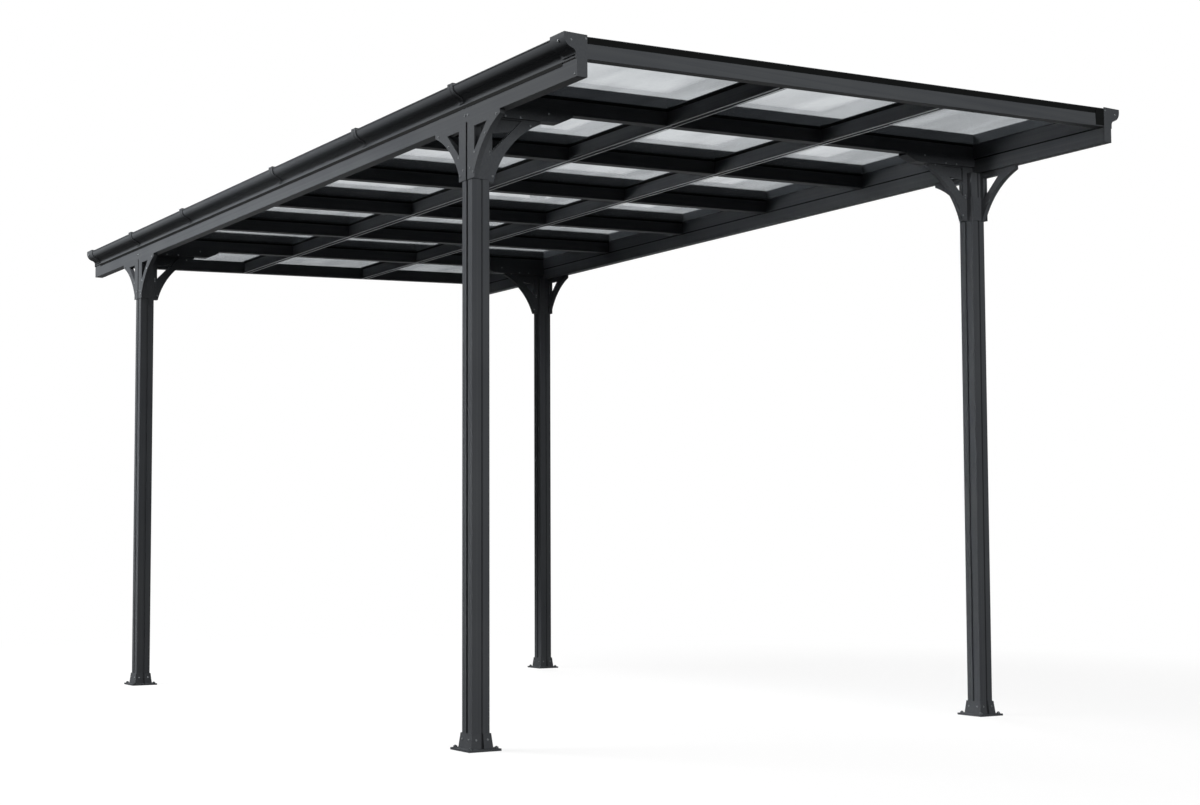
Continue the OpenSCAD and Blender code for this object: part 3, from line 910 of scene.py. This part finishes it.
@dataclass
class Fasteners:
    """Screws and anchors of the whole frame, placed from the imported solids. Its sizes are in millimetres."""

    # Collar screws: distance from the middle of a face, and height above the base plate
    collar_half: float = 26.0
    collar_up: float = 34.0
    # How far the collar stands out from the post at its top and at its foot
    collar_top_out: float = 3.3
    collar_foot_out: float = 9.8
    # Side brace screws: distance from the post's face along the beam, and drop below the beam
    brace_spots: tuple[tuple[float, float], ...] = (
        (184.0, 15.0),
        (101.0, 72.0),
        (23.0, 132.0),
        (9.0, 207.0),
        (-13.0, 188.0),
    )
    # Screws through the beam above the post: distance from the post's middle, and height above the beam's underside
    beam_spots: tuple[tuple[float, float], ...] = ((-12.0, 27.0), (12.0, 27.0))
    # Cross brace screws: distance from the post's inner face, and drop below the beam
    cross_spots: tuple[tuple[float, float], ...] = ((14.0, 108.0), (14.0, 121.0), (30.0, 205.0), (208.0, -19.0))
    # Half the thickness of the cross brace, and half the width of its shoe
    cross_half: float = 12.0
    shoe_half: float = 25.3
    # Screws in the shoe's sides: distance from the post's inner face, and height above the shoe's underside
    shoe_spots: tuple[tuple[float, float], ...] = ((82.0, 6.0), (152.0, 6.0), (288.0, 33.0))
    # Screws in an end cap's face: distance out from the beam, and drop below the gutter cap's top
    cap_spots: tuple[tuple[float, float], ...] = ((25.0, 26.0), (-38.0, 14.0))
    # Screws in the cap's wrap and at the beam's end: distance from the cap's face, and drop or height
    wrap_spot: tuple[float, float] = (40.0, 25.0)
    beam_end_spot: tuple[float, float] = (14.0, 12.0)

    def build(self) -> None:
        """Model the fasteners and fix them to the frame."""
        zinc = ZincPlate().build()
        dark_steel = ZincPlate("dark_anchor_steel", "#3c3f41", "#303234").build()
        screw = PanScrew().build()
        anchor = AnchorBolt().build()
        for corner in Corner:
            label = corner.label
            place_copies(anchor, self.anchor_spots(corner), f"anchor_bolts_{label}", dark_steel)
            place_copies(screw, self.collar_screws(corner), f"collar_screws_{label}", zinc)
            place_copies(screw, self.brace_screws(corner), f"brace_screws_{label}", zinc)
            place_copies(screw, self.cross_brace_screws(corner), f"cross_brace_screws_{label}", zinc)
            place_copies(screw, self.cap_screws(corner), f"cap_screws_{label}", zinc)
        for master in (screw, anchor):
            bpy.data.objects.remove(master)

    def anchor_spots(self, corner: Corner) -> list[Spot]:
        """Find the anchors of one base plate.

        Args:
            corner: The post's corner.

        Returns:
            Places and directions.
        """
        mount = next(m for m in frame["record"]["mounts"] if m["name"] == f"anchors_{corner.label}")
        pitch_x, pitch_y = (mount["dims"][f"spacing_{axis}_mm"] * MM / 2 for axis in "xy")
        plate_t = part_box(f"post_{corner.label}")[0].z
        centre = Vector(mount["pos_m"]) + Vector((0.0, 0.0, plate_t))
        return [
            (centre + Vector((sx * pitch_x, sy * pitch_y, 0.0)), Vector((0.0, 0.0, 1.0)))
            for sx in (-1, 1)
            for sy in (-1, 1)
        ]

    def collar_screws(self, corner: Corner) -> list[Spot]:
        """Find the screws of one base shoe's collar.

        Args:
            corner: The post's corner.

        Returns:
            Places and directions.
        """
        low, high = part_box(f"post_{corner.label}")
        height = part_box(f"base_shoe_{corner.label}")[1].z - low.z
        centre = (low + high) / 2
        # The collar tapers, so its face stands out less at its top than at its foot
        taper = (self.collar_foot_out - self.collar_top_out) * MM
        out = (high.x - low.x) / 2 + self.collar_foot_out * MM - taper * self.collar_up * MM / height
        spots = []
        for turn in range(4):
            spin = Matrix.Rotation(math.pi / 2 * turn, 3, "Z")
            normal = spin @ Vector((height, 0.0, taper)).normalized()
            for along in (-self.collar_half, self.collar_half):
                foot = Vector((centre.x, centre.y, low.z + self.collar_up * MM))
                spots.append((foot + spin @ Vector((out, along * MM, 0.0)), normal))
        return spots

    def brace_screws(self, corner: Corner) -> list[Spot]:
        """Find the screws of the two side braces at one post.

        Args:
            corner: The post's corner.

        Returns:
            Places and directions.
        """
        side = corner.value[0]
        low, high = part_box(f"post_{corner.label}")
        out = face_of(f"side_beam_{corner.side_label}", X, side)
        normal = Vector((side, 0.0, 0.0))
        spots = []
        for face, way in ((low.y, -1), (high.y, 1)):
            for along, drop in self.brace_spots:
                spots.append((Vector((out, face + way * along * MM, high.z - drop * MM)), normal))
        middle = (low.y + high.y) / 2
        for along, rise in self.beam_spots:
            spots.append((Vector((out, middle + along * MM, high.z + rise * MM)), normal))
        return spots

    def cross_brace_screws(self, corner: Corner) -> list[Spot]:
        """Find the screws of one cross brace and its shoe.

        Args:
            corner: The post's corner.

        Returns:
            Places and directions.
        """
        side = corner.value[0]
        low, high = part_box(f"post_{corner.label}")
        inner = face_of(f"post_{corner.label}", X, -side)
        middle = (low.y + high.y) / 2
        roof = RoofPlane.from_frame()
        spots = []
        for face in (-1, 1):
            normal = Vector((0.0, face, 0.0))
            for along, drop in self.cross_spots:
                x = inner - side * along * MM
                spots.append((Vector((x, middle + face * self.cross_half * MM, high.z - drop * MM)), normal))
            for along, rise in self.shoe_spots:
                x = inner - side * along * MM
                underside = roof.height(x) - roof.shoe_depth
                spots.append((Vector((x, middle + face * self.shoe_half * MM, underside + rise * MM)), normal))
        return spots

    def cap_screws(self, corner: Corner) -> list[Spot]:
        """Find the screws of one end cap and its wrap.

        Args:
            corner: The corner of the roof.

        Returns:
            Places and directions.
        """
        side, end = corner.value
        cap = f"gutter_cap_{corner.label}"
        beam = f"side_beam_{corner.side_label}"
        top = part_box(cap)[1].z
        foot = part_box(beam)[0].z
        face = face_of(cap, Y, end)
        out = face_of(cap, X, side)
        beam_out = face_of(beam, X, side)
        front = Vector((0.0, end, 0.0))
        outward = Vector((side, 0.0, 0.0))
        spots = [
            (Vector((beam_out + side * along * MM, face, top - drop * MM)), front) for along, drop in self.cap_spots
        ]
        back, drop = self.wrap_spot
        spots.append((Vector((out, face - end * back * MM, top - drop * MM)), outward))
        back, rise = self.beam_end_spot
        spots.append((Vector((beam_out, face - end * back * MM, foot + rise * MM)), outward))
        return spots


@dataclass(frozen=True)
class Lamp:
    """One soft lamp of the studio."""

    name: str
    place: tuple[float, float, float]
    aim: tuple[float, float, float]
    watts: float
    width: float
    height: float
    spread: float = math.pi

    def build(self) -> None:
        """Hang the lamp."""
        light = bpy.data.lights.new(self.name, "AREA")
        light.energy = self.watts
        light.shape = "RECTANGLE"
        light.size = self.width
        light.size_y = self.height
        light.spread = self.spread
        lamp = bpy.data.objects.new(self.name, light)
        lamp.location = self.place
        lamp.rotation_euler = (Vector(self.aim) - Vector(self.place)).to_track_quat("-Z", "Y").to_euler()
        # The panes show the white background, not the lamps behind them
        lamp.visible_transmission = False
        bpy.context.scene.collection.objects.link(lamp)


@dataclass
class Studio:
    """White floor, soft light and a camera where the photograph was taken from."""

    # Size of the photograph in pixels
    image_w: float = 1200.0
    image_h: float = 805.0
    sensor_mm: float = 36.0
    # The camera, fitted to the posts, the beams' ends and the crossings of beams and purlins
    camera_at: tuple[float, float, float] = (-4.8126, -7.6539, 0.7775)
    camera_yaw: float = math.radians(30.876)
    camera_pitch: float = math.radians(3.365)
    focal_px: float = 1722.7
    centre_px: tuple[float, float] = (479.08, 447.44)
    floor_size: float = 400.0
    floor_glow: float = 1.0
    # Share of matt paper in the floor near the posts, its grey, and where it starts to fade and is gone
    floor_paper: float = 0.12
    paper_grey: float = 0.8
    paper_near: float = 3.5
    paper_far: float = 6.5
    # How much light the floor throws back up, and how much the sky gives
    floor_throw: float = 0.03
    sky_strength: float = 0.04
    lamps: tuple[Lamp, ...] = (
        Lamp("side_lamp", (-6.6, 2.6, 6.6), aim=(-1.4, 0.6, 1.9), watts=1500.0, width=5.0, height=1.2),
        Lamp(
            "low_lamp",
            (-7.0, 3.0, 0.8),
            aim=(1.34, -1.3, 1.3),
            watts=26.0,
            width=1.8,
            height=1.2,
            spread=math.radians(26.0),
        ),
        Lamp("front_lamp", (-1.5, -11.0, 3.2), aim=(0.2, -1.5, 1.2), watts=760.0, width=4.0, height=1.4),
        Lamp("rear_lamp", (5.0, 10.0, 12.0), aim=(0.0, 0.0, 1.2), watts=1500.0, width=4.0, height=4.0),
    )

    def build(self) -> None:
        """Make the floor, the lights, the world and the camera."""
        self.build_floor()
        self.build_world()
        for lamp in self.lamps:
            lamp.build()
        self.build_camera()

    def build_floor(self) -> None:
        """Lay a floor that is white to the eye, keeps a faint shadow near the posts and throws little light up."""
        bpy.ops.object.select_all(action="DESELECT")
        bpy.ops.mesh.primitive_plane_add(size=self.floor_size)
        floor = bpy.context.view_layer.objects.active
        floor.name = "floor"
        material, tree = new_material("white_floor")
        seen = self.seen_directly(tree)
        place = add_node(tree, "ShaderNodeTexCoord").outputs["Object"]
        distance = add_node(tree, "ShaderNodeVectorMath", {0: place}, operation="LENGTH")
        share = add_node(
            tree,
            "ShaderNodeMapRange",
            {
                "Value": distance.outputs["Value"],
                "From Min": self.paper_near,
                "From Max": self.paper_far,
                "To Min": self.floor_paper,
                "To Max": 0.0,
            },
            interpolation_type="SMOOTHSTEP",
        )
        paper = add_node(tree, "ShaderNodeBsdfDiffuse", {"Color": (*[self.paper_grey] * 3, 1.0)})
        glow = add_node(tree, "ShaderNodeEmission", {"Color": WHITE, "Strength": self.floor_glow})
        shown = add_node(
            tree, "ShaderNodeMixShader", {0: share.outputs["Result"], 1: glow.outputs[0], 2: paper.outputs[0]}
        )
        dim = add_node(tree, "ShaderNodeBsdfDiffuse", {"Color": (*[self.floor_throw] * 3, 1.0)})
        surface = add_node(tree, "ShaderNodeMixShader", {0: seen, 1: dim.outputs[0], 2: shown.outputs[0]})
        add_node(tree, "ShaderNodeOutputMaterial", {"Surface": surface.outputs[0]})
        floor.data.materials.append(material)

    def build_world(self) -> None:
        """Make a sky that is white to the eye and gives a plain level of light."""
        world = bpy.data.worlds.new("studio")
        world.use_nodes = True
        tree = world.node_tree
        tree.nodes.clear()
        seen = self.seen_directly(tree)
        strength = add_node(tree, "ShaderNodeMapRange", {"Value": seen, "To Min": self.sky_strength, "To Max": 1.0})
        sky = add_node(tree, "ShaderNodeBackground", {"Color": WHITE, "Strength": strength.outputs["Result"]})
        add_node(tree, "ShaderNodeOutputWorld", {"Surface": sky.outputs[0]})
        bpy.context.scene.world = world

    def seen_directly(self, tree: bpy.types.NodeTree) -> bpy.types.NodeSocket:
        """Tell rays that show the background from rays that only carry light.

        Args:
            tree: The node tree that asks.

        Returns:
            A socket that is one for camera, glossy and transmission rays that have met no matt surface.
        """
        path = add_node(tree, "ShaderNodeLightPath")
        mirrored = add_node(
            tree,
            "ShaderNodeMath",
            {0: path.outputs["Is Camera Ray"], 1: path.outputs["Is Glossy Ray"]},
            operation="MAXIMUM",
        )
        seen = add_node(
            tree,
            "ShaderNodeMath",
            {0: mirrored.outputs[0], 1: path.outputs["Is Transmission Ray"]},
            operation="MAXIMUM",
        )
        # The depth is a whole number, and half parts none from one
        clean = add_node(tree, "ShaderNodeMath", {0: path.outputs["Diffuse Depth"], 1: 0.5}, operation="LESS_THAN")
        shown = add_node(tree, "ShaderNodeMath", {0: seen.outputs[0], 1: clean.outputs[0]}, operation="MULTIPLY")
        return shown.outputs[0]

    def build_camera(self) -> None:
        """Set the camera at the photograph's viewing angle."""
        lens = bpy.data.cameras.new("camera")
        lens.sensor_width = self.sensor_mm
        lens.lens = self.focal_px / self.image_w * self.sensor_mm
        lens.shift_x = (self.image_w / 2 - self.centre_px[0]) / self.image_w
        lens.shift_y = (self.centre_px[1] - self.image_h / 2) / self.image_w
        camera = bpy.data.objects.new("camera", lens)
        camera.location = self.camera_at
        camera.rotation_euler = (math.pi / 2 + self.camera_pitch, 0.0, -self.camera_yaw)
        bpy.context.scene.collection.objects.link(camera)
        bpy.context.scene.camera = camera


def main() -> None:
    """Dress the carport, fasten it and light it."""
    logging.basicConfig(level=logging.INFO, format="%(name)s: %(message)s")
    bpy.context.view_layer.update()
    bpy.context.scene.view_settings.view_transform = "Standard"
    assemblies = (
        FrameDressing(),
        GlazingGaskets(),
        BeamGaskets(),
        PurlinTrims(),
        EdgePads(),
        BraceWebs(),
        Fasteners(),
        Studio(),
    )
    for assembly in assemblies:
        assembly.build()
        LOG.info("finished %s", type(assembly).__name__)


if __name__ == "__main__":
    main()
